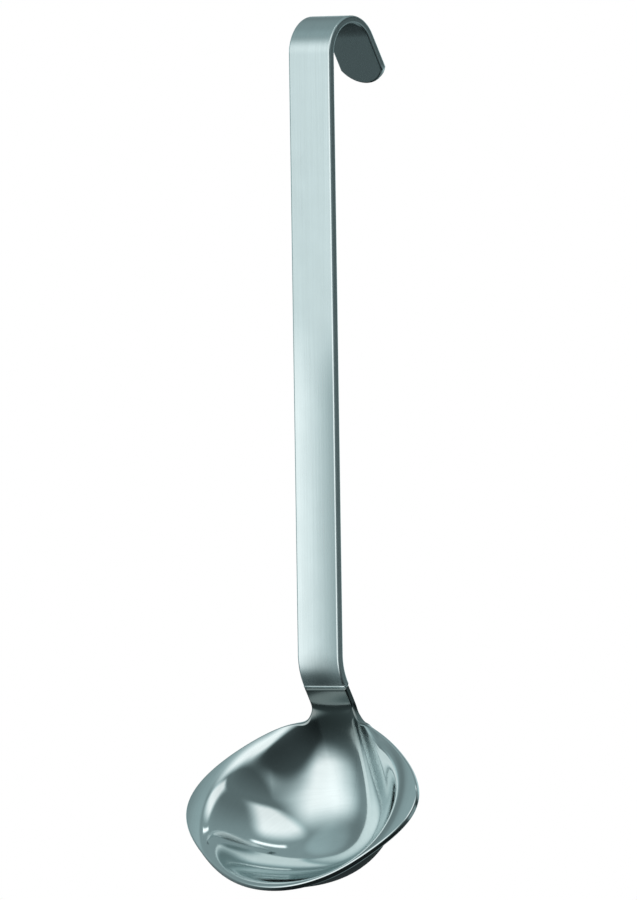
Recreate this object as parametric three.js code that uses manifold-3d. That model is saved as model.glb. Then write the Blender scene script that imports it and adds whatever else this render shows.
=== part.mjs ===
import * as THREE from 'three';
import { mergeVertices } from 'three/addons/utils/BufferGeometryUtils.js';
import Module from 'manifold-3d';

// A sauce ladle in millimetres, hanging by its hook, +Z up and its front towards -Y.
// The origin is the hook's seat, in the middle of the inner face at the top of the bend.

// Handle strap: a flat bar with a hook at the top and a bend at the neck
const STRAP_WIDTH = 16;
const STRAP_THICKNESS = 2.5;
const STRAP_CHAMFER = 0.4;
const HANDLE_LENGTH = 180;
const HOOK_INNER_RADIUS = 9;
const HOOK_TURN_DEGREES = 148;
const HOOK_TIP_LENGTH = 11.5;
const HOOK_TIP_RADIUS = 9.2;
const NECK_BEND_RADIUS = 18.5;
const NECK_BEND_DEGREES = 32.5;

// Bowl: one pressed sheet, whose back wall runs up into a neck as wide as the strap
const SHEET_THICKNESS = 2;
const SHEET_CHAMFER = 0.5;
const NECK_LENGTH = 6.95;
const NECK_SETBACK = 3.2;
const NECK_BLEND = 1.2;
const CORNER_RADIUS = 5.5;
const RIM_TILT_DEGREES = 58.9;
const RIM_HALF_LENGTH = 29.3;
const BODY_HALF_WIDTH = 35.5;
const LIP_REACH = 7.9;
const LIP_SHARPNESS = 5;
const LIP_DROOP = 0.8;
const LIP_HINGE = 22;
const WELL_DEPTH = 21.8;
const WELL_HALF_WIDTH = 34.8;
const WELL_HALF_LENGTH = 25.8;
const WELL_FORWARD = 1.2;
const WELL_FULLNESS = 2.6;
const WELL_SQUARENESS = 2.1;
const WELL_EDGE_BLEND = 3.4;
const ROOT_REACH = 6.8;
const ROOT_HALF_WIDTH = 6;
const ROOT_SPREAD = 16;

// Butt weld across the neck, in a groove open to both faces
const WELD_FACE_WIDTH = 0.9;
const WELD_ROOT_WIDTH = 0.4;
const WELD_CROWN = 0.15;
const JOINT_GAP = 0.15;

// Facets
const BEND_SEGMENTS = 20;
const RIM_STEPS = 26;
const CORNER_STEPS = 6;
const NECK_SIDE_STEPS = 2;
const NECK_END_STEPS = 3;
const WELL_RINGS = 9;
const FLANGE_RINGS = 8;
const WELL_RING_LIMIT = 0.9;

const wasm = await Module();
wasm.setup();

const radians = THREE.MathUtils.degToRad;
const halfWidth = STRAP_WIDTH / 2;
const hookOuterRadius = HOOK_INNER_RADIUS + STRAP_THICKNESS;
const hookTurn = radians(HOOK_TURN_DEGREES);
const neckBend = radians(NECK_BEND_DEGREES);
const rimTilt = radians(RIM_TILT_DEGREES);

// Places in the side view are Vector2(Y, Z).
const hookCentre = new THREE.Vector2(0, -HOOK_INNER_RADIUS);
const bendCentre = new THREE.Vector2(
  NECK_BEND_RADIUS - hookOuterRadius,
  hookCentre.y - HANDLE_LENGTH,
);
const neckDown = new THREE.Vector2(Math.sin(neckBend), -Math.cos(neckBend));
const neckInto = new THREE.Vector2(Math.cos(neckBend), Math.sin(neckBend));
const seamFront = bendCentre.clone().addScaledVector(neckInto, -NECK_BEND_RADIUS);

// The rim's plane: forward runs down its slope and outward faces the cook.
const forward = new THREE.Vector2(-Math.cos(rimTilt), -Math.sin(rimTilt));
const outward = new THREE.Vector2(-Math.sin(rimTilt), Math.cos(rimTilt));
const neckFoot = RIM_HALF_LENGTH + NECK_SETBACK;
const rimCentre = seamFront.clone()
  .addScaledVector(neckDown, NECK_LENGTH)
  .addScaledVector(forward, neckFoot);
const neckAngle = Math.acos(forward.dot(neckDown));
const sheetEnd = neckFoot + (NECK_LENGTH + SHEET_THICKNESS) * Math.cos(neckAngle);

// A closed geometry as a solid, and back
function solidOf(geometry) {
  const bare = geometry.clone();
  bare.deleteAttribute('normal');
  bare.deleteAttribute('uv');
  const merged = mergeVertices(bare, 1e-4);
  return new wasm.Manifold(new wasm.Mesh({
    numProp: 3,
    vertProperties: new Float32Array(merged.attributes.position.array),
    triVerts: new Uint32Array(merged.index.array),
  }));
}

function geometryOf(solid) {
  const mesh = solid.getMesh();
  const geometry = new THREE.BufferGeometry();
  geometry.setAttribute('position', new THREE.BufferAttribute(mesh.vertProperties, 3));
  geometry.setIndex(new THREE.BufferAttribute(mesh.triVerts, 1));
  geometry.computeVertexNormals();
  return geometry;
}

// A side-view shape as a bar across X, with its long edges cut back by a chamfer
function barAcross(shape, width, chamfer) {
  const geometry = new THREE.ExtrudeGeometry(shape, {
    depth: width - 2 * chamfer,
    curveSegments: BEND_SEGMENTS,
    bevelEnabled: chamfer > 0,
    bevelThickness: chamfer,
    bevelSize: chamfer,
    bevelOffset: -chamfer,
    bevelSegments: 1,
  });
  geometry.translate(0, 0, chamfer - width / 2);
  return geometry.applyMatrix4(new THREE.Matrix4().makeBasis(
    new THREE.Vector3(0, 1, 0),
    new THREE.Vector3(0, 0, 1),
    new THREE.Vector3(1, 0, 0),
  ));
}

// A place beside the seam: along the neck, downwards, and into its thickness from the front
function seamPlace(along, into) {
  return seamFront.clone().addScaledVector(neckDown, along).addScaledVector(neckInto, into);
}

// The hook's tip is round in plan: its arc rises by this much over the strap's width.
const tipRise = HOOK_TIP_RADIUS - Math.sqrt(HOOK_TIP_RADIUS ** 2 - halfWidth ** 2);
const tipAlong = new THREE.Vector2(Math.sin(hookTurn), Math.cos(hookTurn));
const tipAcross = new THREE.Vector2(-Math.cos(hookTurn), Math.sin(hookTurn));

function tipPlace(radius, along) {
  return hookCentre.clone().addScaledVector(tipAcross, radius).addScaledVector(tipAlong, along);
}

// The strap's side view, with a length to spare past the seam
function strapShape() {
  const tipEnd = HOOK_TIP_LENGTH + tipRise;
  const outerTip = tipPlace(hookOuterRadius, tipEnd);
  const outerTurn = tipPlace(hookOuterRadius, 0);
  const innerTip = tipPlace(HOOK_INNER_RADIUS, tipEnd);
  const frontEnd = seamPlace(STRAP_THICKNESS, 0);
  const backEnd = seamPlace(STRAP_THICKNESS, STRAP_THICKNESS);
  const front = Math.PI;
  const neck = Math.PI + neckBend;
  const shape = new THREE.Shape();
  shape.moveTo(outerTip.x, outerTip.y);
  shape.lineTo(outerTurn.x, outerTurn.y);
  shape.absarc(hookCentre.x, hookCentre.y, hookOuterRadius, front - hookTurn, front, false);
  shape.absarc(bendCentre.x, bendCentre.y, NECK_BEND_RADIUS, front, neck, false);
  shape.lineTo(frontEnd.x, frontEnd.y);
  shape.lineTo(backEnd.x, backEnd.y);
  shape.absarc(bendCentre.x, bendCentre.y, NECK_BEND_RADIUS - STRAP_THICKNESS, neck, front, true);
  shape.absarc(hookCentre.x, hookCentre.y, HOOK_INNER_RADIUS, front, front - hookTurn, true);
  shape.lineTo(innerTip.x, innerTip.y);
  return shape;
}

// What lies outside the hook tip's arc, to be cut away
function tipWaste() {
  const arcCentre = HOOK_TIP_LENGTH + tipRise - HOOK_TIP_RADIUS;
  const halfArc = Math.asin(halfWidth / HOOK_TIP_RADIUS);
  const side = STRAP_WIDTH;
  const end = HOOK_TIP_LENGTH + tipRise + STRAP_THICKNESS;
  const shape = new THREE.Shape();
  shape.moveTo(-side, HOOK_TIP_LENGTH);
  shape.lineTo(-halfWidth, HOOK_TIP_LENGTH);
  shape.absarc(0, arcCentre, HOOK_TIP_RADIUS, Math.PI / 2 + halfArc, Math.PI / 2 - halfArc, true);
  shape.lineTo(side, HOOK_TIP_LENGTH);
  shape.lineTo(side, end);
  shape.lineTo(-side, end);
  const geometry = new THREE.ExtrudeGeometry(shape, {
    depth: 3 * STRAP_THICKNESS,
    curveSegments: BEND_SEGMENTS,
    bevelEnabled: false,
  });
  const root = tipPlace(HOOK_INNER_RADIUS - STRAP_THICKNESS, 0);
  const placed = new THREE.Matrix4().makeBasis(
    new THREE.Vector3(1, 0, 0),
    new THREE.Vector3(0, tipAlong.x, tipAlong.y),
    new THREE.Vector3(0, tipAcross.x, tipAcross.y),
  );
  placed.setPosition(0, root.x, root.y);
  return geometry.applyMatrix4(placed);
}

// The weld's section, wide at both faces and narrow at its root
function weldShape() {
  const face = WELD_FACE_WIDTH / 2;
  const root = WELD_ROOT_WIDTH / 2;
  return new THREE.Shape([
    seamPlace(-face, 0),
    seamPlace(-root, -WELD_CROWN),
    seamPlace(root, -WELD_CROWN),
    seamPlace(face, 0),
    seamPlace(root, SHEET_THICKNESS / 2),
    seamPlace(face, SHEET_THICKNESS),
    seamPlace(root, STRAP_THICKNESS + WELD_CROWN),
    seamPlace(-root, STRAP_THICKNESS + WELD_CROWN),
    seamPlace(-face, STRAP_THICKNESS),
    seamPlace(-root, SHEET_THICKNESS / 2),
  ]);
}

// The groove that the strap and the bowl's neck leave for the weld, its flanks run on past both faces
function grooveShape() {
  const middle = SHEET_THICKNESS / 2;
  const reach = 2 * STRAP_THICKNESS;
  const root = WELD_ROOT_WIDTH / 2 + JOINT_GAP;
  const wide = root + reach * (WELD_FACE_WIDTH - WELD_ROOT_WIDTH) / SHEET_THICKNESS;
  return new THREE.Shape([
    seamPlace(-wide, middle - reach),
    seamPlace(wide, middle - reach),
    seamPlace(root, middle),
    seamPlace(wide, middle + reach),
    seamPlace(-wide, middle + reach),
    seamPlace(-root, middle),
  ]);
}

// What runs past the seam, downwards with a side of 1 and upwards with -1
function pastSeamShape(side) {
  const clear = STRAP_THICKNESS;
  return new THREE.Shape([
    seamPlace(0, -clear),
    seamPlace(2 * side * clear, -clear),
    seamPlace(2 * side * clear, STRAP_THICKNESS + clear),
    seamPlace(0, STRAP_THICKNESS + clear),
  ]);
}

// A solid cut back to the groove, without its spare length past the seam
function cutAtSeam(solid, side) {
  const spare = solidOf(barAcross(pastSeamShape(side), 2 * STRAP_WIDTH, 0));
  const groove = solidOf(barAcross(grooveShape(), 2 * STRAP_WIDTH, 0));
  return solid.subtract(spare.add(groove));
}

// Eases from 0 to 1 without a kink
function ease(value) {
  return THREE.MathUtils.smoothstep(value, 0, 1);
}

// Share of the way from the well's middle to its edge; behind, the edge reaches back to the neck
function wellRadius(p, q) {
  const root = 1 - ease((Math.abs(p) - ROOT_HALF_WIDTH) / ROOT_SPREAD);
  const behind = q < WELL_FORWARD ? ROOT_REACH * root : 0;
  const across = Math.abs(p) / WELL_HALF_WIDTH;
  const along = Math.abs(q - WELL_FORWARD) / (WELL_HALF_LENGTH + behind);
  return (across ** WELL_SQUARENESS + along ** WELL_SQUARENESS) ** (1 / WELL_SQUARENESS);
}

// Depth of the sheet's inner face under the rim's plane, p across and q forward, above it on the neck
function sheetDepth(p, q) {
  const raw = WELL_DEPTH * (1 - wellRadius(p, q) ** WELL_FULLNESS);
  const lipSpan = BODY_HALF_WIDTH + LIP_REACH - LIP_HINGE;
  const droop = LIP_DROOP * (Math.max(Math.abs(p) - LIP_HINGE, 0) / lipSpan) ** 2;
  const well = (raw + Math.hypot(raw, WELL_EDGE_BLEND)) / 2 + droop;
  const neck = (q + neckFoot) * Math.tan(neckAngle);
  return (well + neck - Math.hypot(well - neck, NECK_BLEND)) / 2;
}

// The inner face over a place of the rim's plane
function sheetPlace(p, q) {
  const side = rimCentre.clone()
    .addScaledVector(forward, q)
    .addScaledVector(outward, -sheetDepth(p, q));
  return new THREE.Vector3(p, side.x, side.y);
}

function sheetNormal(p, q) {
  const step = 0.01;
  const acrossStep = sheetPlace(p + step, q).sub(sheetPlace(p - step, q));
  const alongStep = sheetPlace(p, q + step).sub(sheetPlace(p, q - step));
  return alongStep.cross(acrossStep).normalize();
}

function rimPlace(t) {
  const c = Math.cos(t);
  return new THREE.Vector2(
    BODY_HALF_WIDTH * c + LIP_REACH * c ** LIP_SHARPNESS,
    RIM_HALF_LENGTH * Math.sin(t),
  );
}

function rimNormal(t) {
  const step = 0.001;
  const along = rimPlace(t + step).sub(rimPlace(t - step)).normalize();
  return new THREE.Vector2(along.y, -along.x);
}

// The round corner between neck and rim touches the rim where its centre clears the neck's edge.
function cornerTouch() {
  let low = -Math.PI / 2;
  let high = 0;
  for (let i = 0; i < 50; i += 1) {
    const middle = (low + high) / 2;
    const centre = rimPlace(middle).addScaledVector(rimNormal(middle), CORNER_RADIUS);
    if (centre.x < halfWidth + CORNER_RADIUS) {
      low = middle;
    } else {
      high = middle;
    }
  }
  return (low + high) / 2;
}

// The sheet's outline in the rim's plane: neck end with a length to spare, neck side, round corner and rim
function sheetOutline() {
  const touch = cornerTouch();
  const centre = rimPlace(touch).addScaledVector(rimNormal(touch), CORNER_RADIUS);
  const touchAngle = rimPlace(touch).sub(centre).angle();
  const right = [];
  for (let i = 0; i < NECK_END_STEPS; i += 1) {
    right.push(new THREE.Vector2(halfWidth * i / NECK_END_STEPS, -sheetEnd));
  }
  for (let i = 0; i < NECK_SIDE_STEPS; i += 1) {
    right.push(new THREE.Vector2(
      halfWidth,
      THREE.MathUtils.lerp(-sheetEnd, centre.y, i / NECK_SIDE_STEPS),
    ));
  }
  for (let i = 0; i < CORNER_STEPS; i += 1) {
    const angle = THREE.MathUtils.lerp(Math.PI, touchAngle, i / CORNER_STEPS);
    right.push(new THREE.Vector2(
      centre.x + CORNER_RADIUS * Math.cos(angle),
      centre.y + CORNER_RADIUS * Math.sin(angle),
    ));
  }
  for (let i = 0; i <= RIM_STEPS; i += 1) {
    right.push(rimPlace(THREE.MathUtils.lerp(touch, Math.PI / 2, i / RIM_STEPS)));
  }
  const left = right.slice(1, -1).reverse().map((place) => new THREE.Vector2(-place.x, place.y));
  return right.concat(left);
}

// The same outline, drawn in by a distance
function drawnIn(outline, distance) {
  return outline.map((place, i) => {
    const before = outline[(i + outline.length - 1) % outline.length];
    const after = outline[(i + 1) % outline.length];
    const along = after.clone().sub(before).normalize();
    return new THREE.Vector2(place.x - distance * along.y, place.y + distance * along.x);
  });
}

// How far along the line from the centre to a place the well's edge lies
function wellShare(place) {
  let low = 0;
  let high = 1;
  for (let i = 0; i < 40; i += 1) {
    const middle = (low + high) / 2;
    if (wellRadius(place.x * middle, place.y * middle) < 1) {
      low = middle;
    } else {
      high = middle;
    }
  }
  return low;
}

// Shares of the line from the centre to the outline at which the sheet has a ring
function ringShares(place) {
  const well = Math.min(wellShare(place), WELL_RING_LIMIT);
  const shares = [];
  for (let i = 1; i <= WELL_RINGS; i += 1) {
    shares.push(well * Math.sin(Math.PI / 2 * i / WELL_RINGS));
  }
  for (let i = 1; i <= FLANGE_RINGS; i += 1) {
    shares.push(THREE.MathUtils.lerp(well, 1, i / FLANGE_RINGS));
  }
  return shares;
}

function sheetDeep(place, depth) {
  return sheetPlace(place.x, place.y).addScaledVector(sheetNormal(place.x, place.y), -depth);
}

// Rings of points as one closed skin, with a pole at each end
function closedSkin(startPole, rings, endPole) {
  const around = rings[0].length;
  const points = [startPole, ...rings.flat(), endPole];
  const last = points.length - 1;
  const at = (ring, i) => 1 + ring * around + i % around;
  const index = [];
  for (let i = 0; i < around; i += 1) {
    index.push(0, at(0, i + 1), at(0, i));
    for (let ring = 0; ring + 1 < rings.length; ring += 1) {
      index.push(at(ring, i), at(ring + 1, i + 1), at(ring + 1, i));
      index.push(at(ring, i), at(ring, i + 1), at(ring + 1, i + 1));
    }
    index.push(at(rings.length - 1, i), at(rings.length - 1, i + 1), last);
  }
  const geometry = new THREE.BufferGeometry().setFromPoints(points);
  geometry.setIndex(index);
  return geometry;
}

function bowlSkin() {
  const outline = sheetOutline();
  const inset = drawnIn(outline, SHEET_CHAMFER);
  const shares = inset.map(ringShares);
  const faceRing = (ring, depth) => inset.map((place, i) => {
    return sheetDeep(place.clone().multiplyScalar(shares[i][ring]), depth);
  });
  const ringCount = WELL_RINGS + FLANGE_RINGS;
  const rings = [];
  for (let ring = 0; ring < ringCount; ring += 1) {
    rings.push(faceRing(ring, 0));
  }
  rings.push(outline.map((place) => sheetDeep(place, SHEET_CHAMFER)));
  rings.push(outline.map((place) => sheetDeep(place, SHEET_THICKNESS - SHEET_CHAMFER)));
  for (let ring = ringCount - 1; ring >= 0; ring -= 1) {
    rings.push(faceRing(ring, SHEET_THICKNESS));
  }
  const centre = new THREE.Vector2(0, 0);
  return closedSkin(sheetDeep(centre, 0), rings, sheetDeep(centre, SHEET_THICKNESS));
}

const brushedSteel = { color: 0xc4d9dc, roughness: 0.38, metalness: 1 };
const polishedSteel = { color: 0xb4c3c5, roughness: 0.14, metalness: 1 };
const weldSteel = { color: 0xcbd6d8, roughness: 0.25, metalness: 1 };

function piece(name, geometry, look) {
  const mesh = new THREE.Mesh(geometry, new THREE.MeshStandardMaterial(look));
  mesh.name = name;
  return mesh;
}

function handleStrap() {
  const bar = solidOf(barAcross(strapShape(), STRAP_WIDTH, STRAP_CHAMFER));
  const solid = cutAtSeam(bar.subtract(solidOf(tipWaste())), 1);
  return piece('handle_strap', geometryOf(solid), brushedSteel);
}

function bowl() {
  return piece('bowl', geometryOf(cutAtSeam(solidOf(bowlSkin()), -1)), polishedSteel);
}

function neckWeld() {
  const geometry = barAcross(weldShape(), STRAP_WIDTH - 2 * STRAP_CHAMFER, 0);
  return piece('neck_weld', geometry, weldSteel);
}

const ladle = new THREE.Group();
ladle.add(handleStrap(), bowl(), neckWeld());

export default ladle;
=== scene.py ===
import math

import bpy
import numpy as np
from mathutils import Matrix, Vector


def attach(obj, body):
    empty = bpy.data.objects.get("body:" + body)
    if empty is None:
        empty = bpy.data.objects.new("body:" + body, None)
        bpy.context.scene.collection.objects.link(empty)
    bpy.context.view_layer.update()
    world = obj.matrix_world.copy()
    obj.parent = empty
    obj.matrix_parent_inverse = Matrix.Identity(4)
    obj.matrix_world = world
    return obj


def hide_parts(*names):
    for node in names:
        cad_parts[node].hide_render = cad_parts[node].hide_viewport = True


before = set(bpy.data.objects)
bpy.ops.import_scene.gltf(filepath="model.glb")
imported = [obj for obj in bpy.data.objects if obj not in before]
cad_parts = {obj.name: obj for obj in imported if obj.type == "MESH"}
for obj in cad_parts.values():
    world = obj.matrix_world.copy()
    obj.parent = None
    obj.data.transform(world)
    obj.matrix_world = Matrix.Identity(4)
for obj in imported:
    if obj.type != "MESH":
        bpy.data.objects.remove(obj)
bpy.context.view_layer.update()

# A sauce ladle, hanging by its hook. Sizes are in millimetres here and in metres in the scene.
MM = 0.001

# Handle strap, as in the part's source
STRAP_WIDTH = 16.0
STRAP_THICKNESS = 2.5
HANDLE_LENGTH = 180.0
HOOK_INNER_RADIUS = 9.0
HOOK_TURN = math.radians(148.0)
HOOK_TIP_LENGTH = 11.5
HOOK_TIP_RADIUS = 9.2
NECK_BEND_RADIUS = 18.5
NECK_BEND = math.radians(32.5)

# Bowl, as in the part's source
SHEET_THICKNESS = 2.0
NECK_LENGTH = 6.95
NECK_SETBACK = 3.2
NECK_BLEND = 1.2
CORNER_RADIUS = 5.5
RIM_TILT = math.radians(58.9)
RIM_HALF_LENGTH = 29.3
BODY_HALF_WIDTH = 35.5
LIP_REACH = 7.9
LIP_SHARPNESS = 5
LIP_DROOP = 0.8
LIP_HINGE = 22.0
WELL_DEPTH = 21.8
WELL_HALF_WIDTH = 34.8
WELL_HALF_LENGTH = 25.8
WELL_FORWARD = 1.2
WELL_FULLNESS = 2.6
WELL_SQUARENESS = 2.1
WELL_EDGE_BLEND = 3.4
ROOT_REACH = 6.8
ROOT_HALF_WIDTH = 6.0
ROOT_SPREAD = 16.0

# Looks only: rounded edges, the strap's slight dish and the weld's bead
STRAP_EDGE = 0.75
DISH_DEPTH = 0.32
DISH_FROM, DISH_RUN, DISH_END = 75.0, 30.0, 9.0
SHEET_EDGE = 0.55
JOINT_HALF_GAP = 0.3
BEAD_HALF_WIDTH = 0.5
BEAD_CROWN = 0.14
BEAD_SINK = 0.06

# How many steps each run of a mesh is cut into
SHEET_END_STEPS = 8
NECK_SIDE_STEPS = 10
CORNER_STEPS = 24
RIM_STEPS = 149
WELL_STEPS = 75
SHEET_EDGE_STEPS = 5
TIP_STEPS = 24
TIP_SIDE_STEPS = 8
HOOK_STEPS = 64
STRAIGHT_STEPS = 60
NECK_BEND_STEPS = 32
STRAP_EDGE_STEPS = 6
STRAP_COLUMNS = 12
BEAD_STEPS = 8
BEAD_CORNER_STEPS = 5
BEAD_FACE_STEPS = 8

# The well's rings: how they crowd towards the rim, and the last one before it
RING_CROWDING = 0.9
LAST_RING = 0.985

# How often the search for the place where the neck's corner meets the rim is halved
HALVINGS = 50

HALF_WIDTH = STRAP_WIDTH / 2
HOOK_OUTER_RADIUS = HOOK_INNER_RADIUS + STRAP_THICKNESS
QUARTER_TURN = math.pi / 2
MIRROR = np.array([-1.0, 1.0])

# Places in the side view are (Y, Z).
HOOK_CENTRE = np.array([0.0, -HOOK_INNER_RADIUS])
BEND_CENTRE = np.array([NECK_BEND_RADIUS - HOOK_OUTER_RADIUS, -HOOK_INNER_RADIUS - HANDLE_LENGTH])
NECK_DOWN = np.array([math.sin(NECK_BEND), -math.cos(NECK_BEND)])
NECK_INTO = np.array([math.cos(NECK_BEND), math.sin(NECK_BEND)])
SEAM_FRONT = BEND_CENTRE - NECK_BEND_RADIUS * NECK_INTO
FORWARD = np.array([-math.cos(RIM_TILT), -math.sin(RIM_TILT)])
OUTWARD = np.array([-math.sin(RIM_TILT), math.cos(RIM_TILT)])
NECK_FOOT = RIM_HALF_LENGTH + NECK_SETBACK
RIM_CENTRE = SEAM_FRONT + NECK_LENGTH * NECK_DOWN + NECK_FOOT * FORWARD
NECK_ANGLE = math.acos(float(FORWARD @ NECK_DOWN))
SHEET_END = NECK_FOOT + NECK_LENGTH * math.cos(NECK_ANGLE)


def add_object(name, data):
    made = bpy.data.objects.new(name, data)
    bpy.context.scene.collection.objects.link(made)
    return made


def mesh_piece(name, points, faces, normals, node, slot, material):
    """Adds a closed smooth mesh, with its own normals if it has any, that stands for a CAD node."""
    mesh = bpy.data.meshes.new(name)
    mesh.from_pydata((points * MM).tolist(), [], faces)
    mesh.polygons.foreach_set("use_smooth", [True] * len(mesh.polygons))
    mesh.update()
    if normals is not None:
        mesh.normals_split_custom_set_from_vertices(normals.tolist())
    mesh.materials.append(material)
    piece = add_object(name, mesh)
    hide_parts(node)
    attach(piece, "root")


def unit(v):
    return v / np.linalg.norm(v, axis=-1, keepdims=True)


def ease(x):
    x = np.clip(x, 0, 1)
    return x * x * (3 - 2 * x)


def cuts(first, last, steps):
    """Evenly spaced values from first to last, with both of them."""
    return np.linspace(first, last, steps + 1)


# The bowl's sheet
def well_depth(p, q):
    """Depth of the inner face under the rim's plane, p across and q forward; the neck rises above it."""
    root = 1 - ease((np.abs(p) - ROOT_HALF_WIDTH) / ROOT_SPREAD)
    reach = np.where(q < WELL_FORWARD, WELL_HALF_LENGTH + ROOT_REACH * root, WELL_HALF_LENGTH)
    across, along = np.abs(p) / WELL_HALF_WIDTH, np.abs(q - WELL_FORWARD) / reach
    radius = (across ** WELL_SQUARENESS + along ** WELL_SQUARENESS) ** (1 / WELL_SQUARENESS)
    raw = WELL_DEPTH * (1 - radius ** WELL_FULLNESS)
    lip_span = BODY_HALF_WIDTH + LIP_REACH - LIP_HINGE
    droop = LIP_DROOP * (np.clip(np.abs(p) - LIP_HINGE, 0, None) / lip_span) ** 2
    well = (raw + np.hypot(raw, WELL_EDGE_BLEND)) / 2 + droop
    neck = (q + NECK_FOOT) * math.tan(NECK_ANGLE)
    return (well + neck - np.hypot(well - neck, NECK_BLEND)) / 2


def sheet_place(p, q):
    """The inner face over a place of the rim's plane."""
    depth = well_depth(p, q)
    y = RIM_CENTRE[0] + q * FORWARD[0] - depth * OUTWARD[0]
    z = RIM_CENTRE[1] + q * FORWARD[1] - depth * OUTWARD[1]
    return np.stack([p, y, z], -1)


def sheet_frame(p, q):
    """Directions across and along the inner face, and the unit direction out of it."""
    step = 0.01
    across = sheet_place(p + step, q) - sheet_place(p - step, q)
    along = sheet_place(p, q + step) - sheet_place(p, q - step)
    return across / (2 * step), along / (2 * step), unit(np.cross(along, across))


def rim_place(t):
    c = np.cos(t)
    return np.stack([BODY_HALF_WIDTH * c + LIP_REACH * c ** LIP_SHARPNESS, RIM_HALF_LENGTH * np.sin(t)], -1)


def rim_normal(t):
    step = 0.001
    along = unit(rim_place(t + step) - rim_place(t - step))
    return np.stack([along[..., 1], -along[..., 0]], -1)


def sheet_outline():
    """The flat sheet's outline and its outward normals, anticlockwise from the middle of the neck's end."""
    low, high = -QUARTER_TURN, 0.0
    for _ in range(HALVINGS):
        touch = (low + high) / 2
        centre = rim_place(touch) + CORNER_RADIUS * rim_normal(touch)
        if centre[0] < HALF_WIDTH + CORNER_RADIUS:
            low = touch
        else:
            high = touch
    end = -(SHEET_END - JOINT_HALF_GAP * math.cos(NECK_ANGLE))
    to_touch = rim_place(touch) - centre
    angle = cuts(math.pi, math.atan2(to_touch[1], to_touch[0]) % (2 * math.pi), CORNER_STEPS)[:-1]
    turn = np.stack([np.cos(angle), np.sin(angle)], -1)
    t = cuts(touch, QUARTER_TURN, RIM_STEPS)
    end_x = cuts(0, HALF_WIDTH, SHEET_END_STEPS)[:-1]
    side_y = cuts(end, centre[1], NECK_SIDE_STEPS)[:-1]
    right = np.concatenate([
        np.stack([end_x, np.full_like(end_x, end)], -1),
        np.stack([np.full_like(side_y, HALF_WIDTH), side_y], -1),
        centre + CORNER_RADIUS * turn,
        rim_place(t),
    ])
    right_normal = np.concatenate([
        np.tile([0.0, -1.0], (len(end_x), 1)),
        np.tile([1.0, 0.0], (len(side_y), 1)),
        -turn,
        rim_normal(t),
    ])
    # A mitre at the corner of the neck's end
    right_normal[len(end_x)] = (1.0, -1.0)
    outline = np.concatenate([right, right[-2:0:-1] * MIRROR])
    normal = np.concatenate([right_normal, right_normal[-2:0:-1] * MIRROR])
    return outline, normal


def bowl_mesh():
    """The inner face's rings from the middle out, round the edge and back along the outer face."""
    outline, normal = sheet_outline()
    count = len(outline)
    inset = outline - SHEET_EDGE * normal
    points, normals = [], []

    def face_ring(share, depth, side):
        p, q = (inset * share).T
        _, _, up = sheet_frame(p, q)
        points.append(sheet_place(p, q) - depth * up)
        normals.append(side * up)

    def edge_ring(angle, side):
        place = inset + SHEET_EDGE * math.sin(angle) * normal
        across, along, up = sheet_frame(*place.T)
        out = unit(across * normal[:, :1] + along * normal[:, 1:])
        rise = SHEET_EDGE * (1 - math.cos(angle))
        depth = rise if side > 0 else SHEET_THICKNESS - rise
        points.append(sheet_place(*place.T) - depth * up)
        normals.append(unit(side * math.cos(angle) * up + math.sin(angle) * out))

    shares = np.concatenate([cuts(0, 1, WELL_STEPS)[1:-2] ** RING_CROWDING, [LAST_RING, 1.0]])
    for share in shares:
        face_ring(share, 0.0, 1)
    for angle in cuts(0, QUARTER_TURN, SHEET_EDGE_STEPS)[1:]:
        edge_ring(angle, 1)
    for angle in cuts(QUARTER_TURN, 0, SHEET_EDGE_STEPS)[:-1]:
        edge_ring(angle, -1)
    for share in shares[::-1]:
        face_ring(share, SHEET_THICKNESS, -1)
    rings = len(points)
    _, _, up = sheet_frame(np.zeros(1), np.zeros(1))
    centre = sheet_place(np.zeros(1), np.zeros(1))
    all_points = np.concatenate(points + [centre, centre - SHEET_THICKNESS * up])
    all_normals = np.concatenate(normals + [up, -up])
    top, bottom = rings * count, rings * count + 1
    faces = []
    for i in range(count):
        j = (i + 1) % count
        faces.append((top, j, i))
        for r in range(rings - 1):
            a, b = r * count, (r + 1) * count
            faces.append((a + i, a + j, b + j, b + i))
        a = (rings - 1) * count
        faces.append((a + i, a + j, bottom))
    return all_points, faces, all_normals


# The handle strap, laid out flat: x across, v along from the hook's tip to the seam
TIP_RISE = HOOK_TIP_RADIUS - math.sqrt(HOOK_TIP_RADIUS ** 2 - HALF_WIDTH ** 2)
HOOK_FROM = HOOK_TIP_LENGTH + TIP_RISE
STRAIGHT_FROM = HOOK_FROM + HOOK_OUTER_RADIUS * HOOK_TURN
NECK_FROM = STRAIGHT_FROM + HANDLE_LENGTH
SEAM_AT = NECK_FROM + NECK_BEND_RADIUS * NECK_BEND


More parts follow.
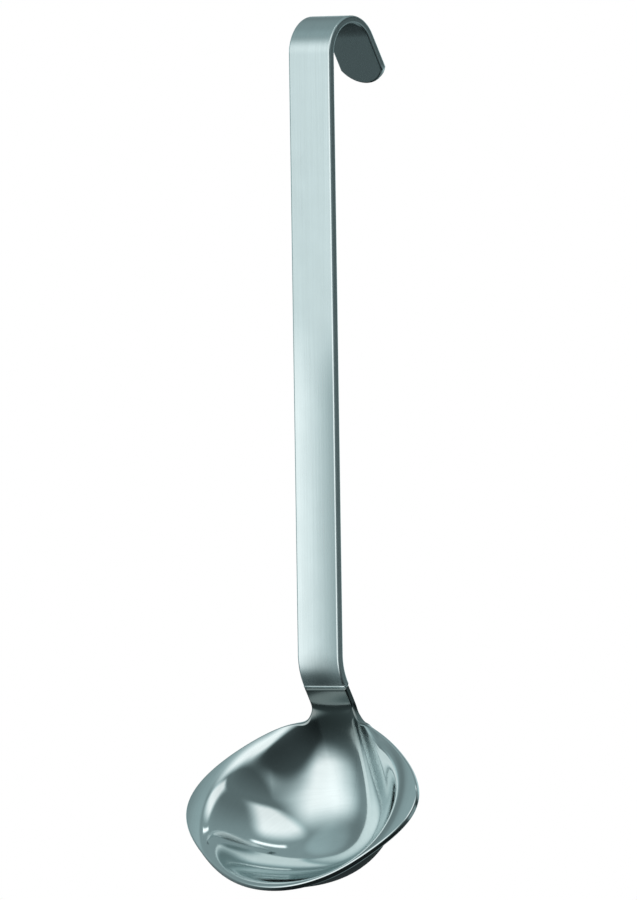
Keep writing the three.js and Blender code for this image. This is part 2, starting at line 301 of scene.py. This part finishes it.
def strap_frame(v):
    """The strap's front line at v, with its directions out of the front face and along v."""
    tip_out = np.array([-math.cos(HOOK_TURN), math.sin(HOOK_TURN)])
    tip_along = -np.array([math.sin(HOOK_TURN), math.cos(HOOK_TURN)])
    hook = np.clip(HOOK_TURN - (v - HOOK_FROM) / HOOK_OUTER_RADIUS, 0, HOOK_TURN)
    neck = np.clip((v - NECK_FROM) / NECK_BEND_RADIUS, 0, NECK_BEND)
    out = np.stack([-np.cos(hook - neck), np.sin(hook - neck)], -1)
    along = np.stack([-np.sin(hook - neck), -np.cos(hook - neck)], -1)
    on_tip = HOOK_CENTRE + HOOK_OUTER_RADIUS * tip_out - np.clip(HOOK_FROM - v, 0, None)[:, None] * tip_along
    on_hook = HOOK_CENTRE + HOOK_OUTER_RADIUS * out
    straight = np.clip(v - STRAIGHT_FROM, 0, HANDLE_LENGTH)
    on_straight = np.stack([np.full_like(v, -HOOK_OUTER_RADIUS), HOOK_CENTRE[1] - straight], -1)
    on_neck = BEND_CENTRE + NECK_BEND_RADIUS * out
    line = np.where((v < HOOK_FROM)[:, None], on_tip, on_hook)
    line = np.where((v > STRAIGHT_FROM)[:, None], on_straight, line)
    line = np.where((v > NECK_FROM)[:, None], on_neck, line)
    return line, out, along


def strap_mesh():
    """Loops round the strap's open outline, front to back, filled on both faces and capped at the seam."""
    tip_angle = cuts(0, math.asin(HALF_WIDTH / HOOK_TIP_RADIUS), TIP_STEPS)
    tip = np.stack([HOOK_TIP_RADIUS * np.sin(tip_angle), HOOK_TIP_RADIUS * (1 - np.cos(tip_angle))], -1)
    tip_normal = np.stack([np.sin(tip_angle), -np.cos(tip_angle)], -1)
    tip_normal[-1] = unit(tip_normal[-1] + np.array([1.0, 0.0]))
    side_v = np.concatenate([
        cuts(TIP_RISE, HOOK_FROM, TIP_SIDE_STEPS)[1:],
        cuts(HOOK_FROM, STRAIGHT_FROM, HOOK_STEPS)[1:],
        cuts(STRAIGHT_FROM, NECK_FROM, STRAIGHT_STEPS)[1:],
        cuts(NECK_FROM, SEAM_AT - JOINT_HALF_GAP, NECK_BEND_STEPS)[1:],
    ])
    right = np.concatenate([tip, np.stack([np.full_like(side_v, HALF_WIDTH), side_v], -1)])
    right_normal = np.concatenate([tip_normal, np.tile([1.0, 0.0], (len(side_v), 1))])
    outline = np.concatenate([right[::-1], right[1:] * MIRROR])
    normal = np.concatenate([right_normal[::-1], right_normal[1:] * MIRROR])
    half = len(right)
    count = len(outline)
    inset = outline - STRAP_EDGE * normal
    points, normals = [], []

    def place(flat, depth, flat_normal, lift, dish=0.0):
        x, v = flat.T
        line, out, along = strap_frame(v)
        inner = HALF_WIDTH - STRAP_EDGE
        dish = dish * ease((v - STRAIGHT_FROM - DISH_FROM) / DISH_RUN) * ease((SEAM_AT - v) / DISH_END)
        side = line - (depth + dish * (1 - (x / inner) ** 2))[:, None] * out
        points.append(np.column_stack([x, side]))
        turned = lift * out + flat_normal[:, 1:] * along
        normals.append(unit(np.column_stack([flat_normal[:, 0] - 2 * dish * x / inner ** 2, turned])))

    steps = cuts(0, QUARTER_TURN, STRAP_EDGE_STEPS)
    for angle in steps:
        place(inset + STRAP_EDGE * math.sin(angle) * normal, STRAP_EDGE * (1 - math.cos(angle)),
              math.sin(angle) * normal, math.cos(angle), 0.0 if angle else DISH_DEPTH)
    for angle in steps[::-1]:
        place(inset + STRAP_EDGE * math.sin(angle) * normal,
              STRAP_THICKNESS - STRAP_EDGE * (1 - math.cos(angle)),
              math.sin(angle) * normal, -math.cos(angle))
    loops = len(points)
    faces = []
    for r in range(loops - 1):
        for i in range(count - 1):
            a, b = r * count, (r + 1) * count
            faces.append((a + i, b + i, b + i + 1, a + i + 1))
    offset = loops * count

    def fill(loop, depth, side):
        """Fills the flat face between a loop's right and left edges, and returns its row at the seam."""
        nonlocal offset
        ids = np.zeros((half, STRAP_COLUMNS + 1), int)
        for i in range(half):
            first, last = half - 1 - i, half - 1 + i
            ids[i, 0], ids[i, -1] = loop * count + first, loop * count + last
        inner = cuts(1, -1, STRAP_COLUMNS)[1:-1]
        rows = inset[half - 1::-1][1:]
        flat = np.stack([rows[:, :1] * inner, np.repeat(rows[:, 1:], len(inner), 1)], -1).reshape(-1, 2)
        place(flat, depth, np.zeros_like(flat), side, DISH_DEPTH if side > 0 else 0.0)
        ids[1:, 1:-1] = offset + np.arange(len(flat)).reshape(half - 1, STRAP_COLUMNS - 1)
        ids[0, :] = loop * count + half - 1
        offset += len(flat)
        for i in range(half - 1):
            for k in range(STRAP_COLUMNS):
                face = [ids[i, k], ids[i, k + 1], ids[i + 1, k + 1], ids[i + 1, k]]
                face = face if i else [ids[0, 0], ids[1, k + 1], ids[1, k]]
                faces.append(tuple(face if side > 0 else face[::-1]))
        return ids[-1]

    front_end = fill(0, 0.0, 1)
    back_end = fill(loops - 1, STRAP_THICKNESS, -1)
    right_end = [r * count for r in range(loops)]
    left_end = [r * count + count - 1 for r in range(loops)]
    cap = list(front_end) + left_end[1:-1] + list(back_end[::-1]) + right_end[-2:0:-1]
    faces.append(tuple(int(i) for i in cap[::-1]))
    return np.concatenate(points), faces, np.concatenate(normals)


def weld_mesh():
    """The weld's bead: a low crown run round the neck's section, sunk a little at both sides."""
    corner = cuts(0, QUARTER_TURN, BEAD_CORNER_STEPS)
    between = cuts(0, 1, BEAD_FACE_STEPS)[1:-1, None]
    loops = []
    for share in cuts(-1, 1, BEAD_STEPS):
        height = BEAD_CROWN - (BEAD_CROWN + BEAD_SINK) * share ** 2
        thick = SHEET_THICKNESS + (STRAP_THICKNESS - SHEET_THICKNESS) * (1 - ease((share + 1) / 2))
        radius = STRAP_EDGE + height
        x_in, top, low = HALF_WIDTH - STRAP_EDGE, STRAP_EDGE, thick - STRAP_EDGE
        arc_x, arc_d = radius * np.sin(corner), radius * np.cos(corner)
        right = np.concatenate([np.stack([x_in + arc_x, top - arc_d], -1),
                                np.stack([x_in + arc_x[::-1], low + arc_d[::-1]], -1)])
        left = right[::-1] * MIRROR
        back_run = right[-1] + between * (left[0] - right[-1])
        front_run = left[-1] + between * (right[0] - left[-1])
        loop = np.concatenate([right, back_run, left, front_run])
        side = SEAM_FRONT + BEAD_HALF_WIDTH * share * NECK_DOWN + loop[:, 1:] * NECK_INTO
        loops.append(np.column_stack([loop[:, 0], side]))
    rings, count = len(loops), len(loops[0])
    faces = [tuple(range(count))]
    for r in range(rings - 1):
        for i in range(count):
            j = (i + 1) % count
            faces.append((r * count + i, (r + 1) * count + i, (r + 1) * count + j, r * count + j))
    faces.append(tuple(range(rings * count - 1, (rings - 1) * count - 1, -1)))
    return np.concatenate(loops), faces, None


class Nodes:
    """Short calls for a shader's node tree."""

    def __init__(self, tree):
        self.tree = tree

    def add(self, kind, **values):
        node = self.tree.nodes.new("ShaderNode" + kind)
        for key, value in values.items():
            setattr(node, key, value)
        return node

    def feed(self, socket, value):
        """Links another node's socket, or sets a number, a vector or a colour."""
        if isinstance(value, bpy.types.NodeSocket):
            self.tree.links.new(value, socket)
        else:
            socket.default_value = (*value, 1) if socket.type == "RGBA" else value

    def math(self, operation, *values):
        node = self.add("Math", operation=operation)
        for socket, value in zip(node.inputs, values):
            self.feed(socket, value)
        return node.outputs[0]

    def blended(self, first, second, share):
        """A share of the first value with the rest from the second."""
        return self.math("MULTIPLY_ADD", first, share, self.math("MULTIPLY", second, 1 - share))

    def dot(self, vector, direction):
        node = self.add("VectorMath", operation="DOT_PRODUCT")
        self.feed(node.inputs[0], vector)
        node.inputs[1].default_value = direction
        return node.outputs["Value"]

    def length(self, vector):
        node = self.add("VectorMath", operation="LENGTH")
        self.feed(node.inputs[0], vector)
        return node.outputs["Value"]

    def ramp(self, value, low, high, out_low=0.0, out_high=1.0, smooth=False):
        node = self.add("MapRange", interpolation_type="SMOOTHSTEP" if smooth else "LINEAR")
        for name, number in (("Value", value), ("From Min", low), ("From Max", high),
                             ("To Min", out_low), ("To Max", out_high)):
            self.feed(node.inputs[name], number)
        return node.outputs[0]

    def noise(self, vector, scale=1.0, detail=3.0, roughness=0.55):
        node = self.add("TexNoise")
        self.feed(node.inputs["Vector"], vector)
        node.inputs["Scale"].default_value = scale
        node.inputs["Detail"].default_value = detail
        node.inputs["Roughness"].default_value = roughness
        return node.outputs[0]

    def stretched(self, vector, scale):
        node = self.add("Mapping")
        self.feed(node.inputs["Vector"], vector)
        node.inputs["Scale"].default_value = scale
        return node.outputs[0]

    def tint(self, share, first, second):
        """The first colour, turned into the second by a share."""
        node = self.add("Mix", data_type="RGBA")
        self.feed(node.inputs["Factor"], share)
        colours = [socket for socket in node.inputs if socket.type == "RGBA"]
        for socket, colour in zip(colours, (first, second)):
            self.feed(socket, colour)
        return next(socket for socket in node.outputs if socket.type == "RGBA")


# Steel: colours, and the scales of its grain in waves per metre
BRUSHED_DARK, BRUSHED_LIGHT = (0.6, 0.685, 0.69), (0.69, 0.775, 0.78)
POLISHED_DARK, POLISHED_LIGHT = (0.59, 0.665, 0.667), (0.645, 0.725, 0.727)
WELD_LIGHT, WELD_DULL = (0.66, 0.74, 0.745), (0.58, 0.65, 0.65)
# The next two colours are painted shade: the dark colours laid on the strap and the bowl near the weld
STRAP_PAINTED_SHADE, BOWL_PAINTED_SHADE = (0.16, 0.19, 0.185), (0.12, 0.145, 0.14)
FINE_GRAIN, COARSE_GRAIN, CLOUDS = (5200, 26, 26), (900, 9, 9), 90.0
POLISH_LINES, POLISH_BREAKS = 2600.0, 9.0
POLISH_OVAL = (1, 1.25, 0.2)
HAZE, SPECKS = 140.0, 2600.0
RIPPLES, TARNISH = (700, 160, 160), 300.0

# How much of each noise goes into the shade, and what rubbing and specks do to the roughness
COARSE_SHARE, CLOUD_SHARE, HAZE_SHARE = 0.45, 0.35, 0.5
STRAP_RUB, BOWL_RUB = -0.08, -0.03
SPECK_ROUGHNESS = 0.02

# The values between which most of a noise lies, and those of a rubbed edge's pointiness
NOISE_LOW, NOISE_HIGH = 0.3, 0.7
TARNISH_LOW = 0.35
EDGE_LOW, EDGE_HIGH = 0.53, 0.62

# The painted shade round the weld: how much narrower it is across, and how far haze moves its border
SHADE_NARROWING = (1.4, 1, 1)
SHADE_WAVER = 0.004


def steel(name):
    material = bpy.data.materials.new(name)
    material.use_nodes = True
    nodes = Nodes(material.node_tree)
    shader = material.node_tree.nodes["Principled BSDF"]
    shader.inputs["Metallic"].default_value = 1.0
    place = nodes.add("TexCoord").outputs["Object"]
    return material, nodes, shader, place


def finish_steel(nodes, shader, colour, roughness, relief, strength, distance):
    bump = nodes.add("Bump")
    bump.inputs["Strength"].default_value = strength
    bump.inputs["Distance"].default_value = distance
    nodes.feed(bump.inputs["Height"], relief)
    nodes.feed(shader.inputs["Base Color"], colour)
    nodes.feed(shader.inputs["Roughness"], roughness)
    nodes.feed(shader.inputs["Normal"], bump.outputs["Normal"])


def worn_edge(nodes):
    """1 on edges and corners, which hands and cloths have rubbed bright."""
    return nodes.ramp(nodes.add("NewGeometry").outputs["Pointiness"], EDGE_LOW, EDGE_HIGH)


def painted_weld_shade(nodes, place, haze, near, far, most):
    """How much painted shade darkens a place near the weld, by its distance from the seam in metres."""
    offset = nodes.add("VectorMath", operation="SUBTRACT")
    nodes.feed(offset.inputs[0], place)
    offset.inputs[1].default_value = (0, SEAM_FRONT[0] * MM, SEAM_FRONT[1] * MM)
    away = nodes.length(nodes.stretched(offset.outputs[0], SHADE_NARROWING))
    distance = nodes.math("MULTIPLY_ADD", haze, SHADE_WAVER, away)
    return nodes.ramp(distance, near, far, most, 0.0, smooth=True)


def brushed_steel():
    material, nodes, shader, place = steel("brushed_steel")
    fine = nodes.noise(nodes.stretched(place, FINE_GRAIN), detail=4.0, roughness=0.6)
    coarse = nodes.noise(nodes.stretched(place, COARSE_GRAIN))
    cloud = nodes.noise(place, CLOUDS)
    grain = nodes.blended(coarse, fine, COARSE_SHARE)
    shade = nodes.blended(cloud, grain, CLOUD_SHARE)
    bare = nodes.tint(nodes.ramp(shade, NOISE_LOW, NOISE_HIGH), BRUSHED_DARK, BRUSHED_LIGHT)
    # Painted shade: the strap turns darker towards the weld's seam
    painted_shade = painted_weld_shade(nodes, place, cloud, near=0.002, far=0.016, most=0.6)
    colour = nodes.tint(painted_shade, bare, STRAP_PAINTED_SHADE)
    rub = nodes.math("MULTIPLY", worn_edge(nodes), STRAP_RUB)
    satin = nodes.ramp(shade, NOISE_LOW, NOISE_HIGH, out_low=0.30, out_high=0.20)
    roughness = nodes.math("ADD", satin, rub)
    finish_steel(nodes, shader, colour, roughness, grain, strength=0.12, distance=0.00005)
    return material


def polished_steel():
    """Steel with fine polishing lines round the middle of the bowl."""
    material, nodes, shader, place = steel("polished_steel")
    turn = nodes.add("Mapping", vector_type="TEXTURE")
    nodes.feed(turn.inputs["Vector"], place)
    turn.inputs["Location"].default_value = (0, RIM_CENTRE[0] * MM, RIM_CENTRE[1] * MM)
    turn.inputs["Rotation"].default_value = (QUARTER_TURN - RIM_TILT, 0, 0)
    swirl = nodes.add("TexGradient", gradient_type="RADIAL")
    nodes.feed(swirl.inputs["Vector"], turn.outputs[0])
    radius = nodes.length(nodes.stretched(turn.outputs[0], POLISH_OVAL))
    rings = nodes.add("CombineXYZ")
    nodes.feed(rings.inputs[0], nodes.math("MULTIPLY", radius, POLISH_LINES))
    nodes.feed(rings.inputs[1], nodes.math("MULTIPLY", swirl.outputs["Fac"], POLISH_BREAKS))
    lines = nodes.noise(rings.outputs[0], detail=4.0, roughness=0.6)
    haze = nodes.noise(place, HAZE, detail=4.0)
    specks = nodes.noise(place, SPECKS, detail=2.0)
    shade = nodes.blended(haze, lines, HAZE_SHARE)
    bare = nodes.tint(nodes.ramp(shade, NOISE_LOW, NOISE_HIGH), POLISHED_DARK, POLISHED_LIGHT)
    # Painted shade: the bowl turns darker towards the weld's seam
    painted_shade = painted_weld_shade(nodes, place, haze, near=0.014, far=0.031, most=0.9)
    colour = nodes.tint(painted_shade, bare, BOWL_PAINTED_SHADE)
    polish = nodes.ramp(shade, NOISE_LOW, NOISE_HIGH, out_low=0.09, out_high=0.06)
    satin = nodes.math("MULTIPLY_ADD", specks, SPECK_ROUGHNESS, polish)
    roughness = nodes.math("ADD", satin, nodes.math("MULTIPLY", worn_edge(nodes), BOWL_RUB))
    finish_steel(nodes, shader, colour, roughness, lines, strength=0.05, distance=0.00002)
    return material


def weld_steel():
    material, nodes, shader, place = steel("weld_steel")
    ripple = nodes.noise(nodes.stretched(place, RIPPLES))
    tarnish = nodes.noise(place, TARNISH)
    colour = nodes.tint(nodes.ramp(tarnish, TARNISH_LOW, NOISE_HIGH), WELD_LIGHT, WELD_DULL)
    roughness = nodes.ramp(ripple, NOISE_LOW, NOISE_HIGH, out_low=0.10, out_high=0.2)
    finish_steel(nodes, shader, colour, roughness, ripple, strength=0.25, distance=0.00008)
    return material


mesh_piece("ladle_bowl", *bowl_mesh(), "bowl", "polished_steel", polished_steel())
mesh_piece("ladle_strap", *strap_mesh(), "handle_strap", "brushed_steel", brushed_steel())
mesh_piece("ladle_weld", *weld_mesh(), "neck_weld", "weld_steel", weld_steel())


def heading(azimuth, elevation):
    """The unit direction at an azimuth, from the front towards the right, and an elevation."""
    level = math.cos(elevation)
    return math.sin(azimuth) * level, -math.cos(azimuth) * level, math.sin(elevation)


# Camera: a long lens at the photograph's angle
AZIMUTH, ELEVATION, ROLL = (math.radians(d) for d in (38.5, 0.6, -0.86))
AIM = Vector((1.136, -11.066, -127.708)) * MM
DISTANCE = 5.0
SEEN_HEIGHT = 0.26987
SENSOR = 36.0
FARTHEST_SEEN = 100.0
back = Vector(heading(AZIMUTH, ELEVATION))
level = Vector((math.cos(AZIMUTH), math.sin(AZIMUTH), 0))
upright = back.cross(level)
right = math.cos(ROLL) * level + math.sin(ROLL) * upright
up = math.cos(ROLL) * upright - math.sin(ROLL) * level
camera_data = bpy.data.cameras.new("camera")
camera_data.sensor_width = SENSOR
camera_data.lens = SENSOR * DISTANCE / SEEN_HEIGHT
camera_data.clip_end = FARTHEST_SEEN
camera = add_object("camera", camera_data)
turn = Matrix((right, up, back)).transposed()
camera.matrix_world = Matrix.Translation(AIM + DISTANCE * back) @ turn.to_4x4()
bpy.context.scene.camera = camera

# Floor: pale, a little brighter to the camera, and lit by a lamp that the steel doesn't mirror
FLOOR_HEIGHT = -0.42
FLOOR_HALF_SIZE = 2.0
FLOOR_DARK, FLOOR_LIGHT = (0.83, 0.84, 0.84), (0.86, 0.87, 0.87)
FLOOR_MOTTLE, FLOOR_ROUGHNESS, FLOOR_GLOW = 6.0, 0.8, 0.4
floor_paint = bpy.data.materials.new("floor_paint")
floor_paint.use_nodes = True
floor_nodes = Nodes(floor_paint.node_tree)
floor_shader = floor_paint.node_tree.nodes["Principled BSDF"]
mottle = floor_nodes.noise(floor_nodes.add("TexCoord").outputs["Object"], FLOOR_MOTTLE, detail=4.0)
floor_nodes.feed(floor_shader.inputs["Base Color"], floor_nodes.tint(mottle, FLOOR_DARK, FLOOR_LIGHT))
floor_shader.inputs["Roughness"].default_value = FLOOR_ROUGHNESS
floor_shader.inputs["Emission Color"].default_value = (1, 1, 1, 1)
camera_ray = floor_nodes.add("LightPath").outputs["Is Camera Ray"]
glow = floor_nodes.math("MULTIPLY", camera_ray, FLOOR_GLOW)
floor_nodes.feed(floor_shader.inputs["Emission Strength"], glow)
floor_mesh = bpy.data.meshes.new("floor")
signs = ((-1, -1), (1, -1), (1, 1), (-1, 1))
corners = [(x * FLOOR_HALF_SIZE, y * FLOOR_HALF_SIZE, FLOOR_HEIGHT) for x, y in signs]
floor_mesh.from_pydata(corners, [], [(0, 1, 2, 3)])
floor_mesh.materials.append(floor_paint)
floor = add_object("floor", floor_mesh)
floor.visible_glossy = False

lamp_data = bpy.data.lights.new("floor_lamp", "AREA")
lamp_data.shape = "DISK"
lamp_data.size = 1.6
lamp_data.energy = 14.0
lamp = add_object("floor_lamp", lamp_data)
lamp.location = (-0.3, -0.4, 1.4)
lamp.visible_glossy = False

# World: a dim room with soft far windows, each placed by its direction from the ladle
LEAST_AHEAD, FULLY_AHEAD = 0.05, 0.3
SOFTBOX_LEAN, HIGH_BOX_LEAN = 0.4, 0.7
CORNER_DIMMING = -0.75
world = bpy.data.worlds.new("studio")
bpy.context.scene.world = world
world.use_nodes = True
sky = Nodes(world.node_tree)
toward = sky.add("TexCoord").outputs["Generated"]
height = sky.dot(toward, (0, 0, 1))


def product(*shares):
    total = shares[0]
    for share in shares[1:]:
        total = sky.math("MULTIPLY", total, share)
    return total


def fade(value, none, full):
    return sky.ramp(value, none, full, smooth=True)


def lobe(direction, none, full):
    """A round soft light about a direction, by the cosine of the angle from it."""
    return fade(sky.dot(toward, direction), none, full)


def window(azimuth, elevation):
    """Flat coordinates on a far window, across and up, and a mask for the half of the sky that it is in."""
    a, e = math.radians(azimuth), math.radians(elevation)
    ahead = sky.dot(toward, heading(a, e))
    near = sky.math("MAXIMUM", ahead, LEAST_AHEAD)
    across = sky.dot(toward, (math.cos(a), math.sin(a), 0))
    up = sky.dot(toward, (-math.sin(a) * math.sin(e), math.cos(a) * math.sin(e), math.cos(e)))
    mask = fade(ahead, LEAST_AHEAD, FULLY_AHEAD)
    return sky.math("DIVIDE", across, near), sky.math("DIVIDE", up, near), mask


# The main softbox, whose top leans to the left, and a smaller one high on the right
u, v, ahead = window(-10, 0)
lean = sky.math("MULTIPLY_ADD", sky.math("MAXIMUM", v, 0.0), SOFTBOX_LEAN, u)
softbox = product(fade(lean, -0.95, -0.2), fade(lean, 1.0, 0.3),
                  fade(v, -0.78, -0.38), fade(v, 1.2, 0.25), ahead)
u, v, ahead = window(36, 38)
lean = sky.math("MULTIPLY_ADD", v, HIGH_BOX_LEAN, u)
high_box = product(fade(lean, -0.46, -0.22), fade(u, 0.42, 0.18),
                   fade(v, -0.54, -0.36), fade(v, 0.6, 0.15), ahead)

# A thin strip lamp overhead, by the distance along it and across it from its middle
along = sky.math("ABSOLUTE", sky.math("ADD", sky.dot(toward, (-0.808, -0.59, 0)), 0.0985))
across = sky.math("ABSOLUTE", sky.math("ADD", sky.dot(toward, (0.59, -0.808, 0)), -0.264))
strip = product(fade(along, 0.27, 0.2), fade(across, 0.06, 0.02), fade(height, 0.5, 0.7))

# The dim room around them, with two darker corners behind
walls = sky.ramp(height, -0.8, 0.05, 0.015, 0.2)
ceiling = sky.ramp(height, 0.35, 0.95, 0.0, 0.18, smooth=True)
right_corner = lobe((0.62, 0.78, 0), 0.75, 0.97)
left_corner = lobe((-0.42, 0.84, -0.34), 0.8, 0.95)
dark = sky.math("MAXIMUM", right_corner, left_corner)
dimming = sky.math("MULTIPLY_ADD", dark, CORNER_DIMMING, 1.0)
room = sky.math("MULTIPLY", sky.math("ADD", walls, ceiling), dimming)

# Weaker lights from the left and from behind
left_wall = product(lobe((-0.95, -0.3, 0.1), 0.3, 0.9), fade(height, 0.58, 0.3))
left_high = lobe((-0.49, -0.41, 0.766), 0.95, 0.995)
rear_wall = lobe((0, 0.9988, -0.05), 0.88, 0.985)
rear_right = lobe((0.68, 0.68, -0.27), 0.94, 0.99)
rear_floor = lobe((0, 0.643, -0.766), 0.86, 0.98)

# The white backdrop: all round to the camera, and behind the ladle to the steel
light_path = sky.add("LightPath")
seen, mirrored = light_path.outputs["Is Camera Ray"], light_path.outputs["Is Glossy Ray"]
backdrop = product(lobe((-0.82, 0.57, 0), 0.55, 0.95), fade(height, -0.1, 0.08),
                   fade(height, 0.45, 0.1), mirrored)

# Each light with its strength. The lamps, and the backdrop to the camera, are white, and the rest is bluish.
ROOM_COLOUR, WHITE = (0.78, 1.0, 1.03), (1, 1, 1)
total = room
for glow, strength in ((softbox, 1.14), (high_box, 0.95), (strip, 1.3), (left_wall, 0.13), (left_high, 0.16),
                       (rear_wall, 0.6), (rear_right, 0.3), (rear_floor, 0.25), (backdrop, 0.65)):
    total = sky.math("MULTIPLY_ADD", glow, strength, total)
whiteness = seen
for glow in (softbox, high_box, strip):
    whiteness = sky.math("MAXIMUM", whiteness, glow)
background = world.node_tree.nodes["Background"]
sky.feed(background.inputs["Strength"], sky.math("MAXIMUM", total, seen))
sky.feed(background.inputs["Color"], sky.tint(whiteness, ROOM_COLOUR, WHITE))
bpy.context.scene.view_settings.view_transform = "Standard"
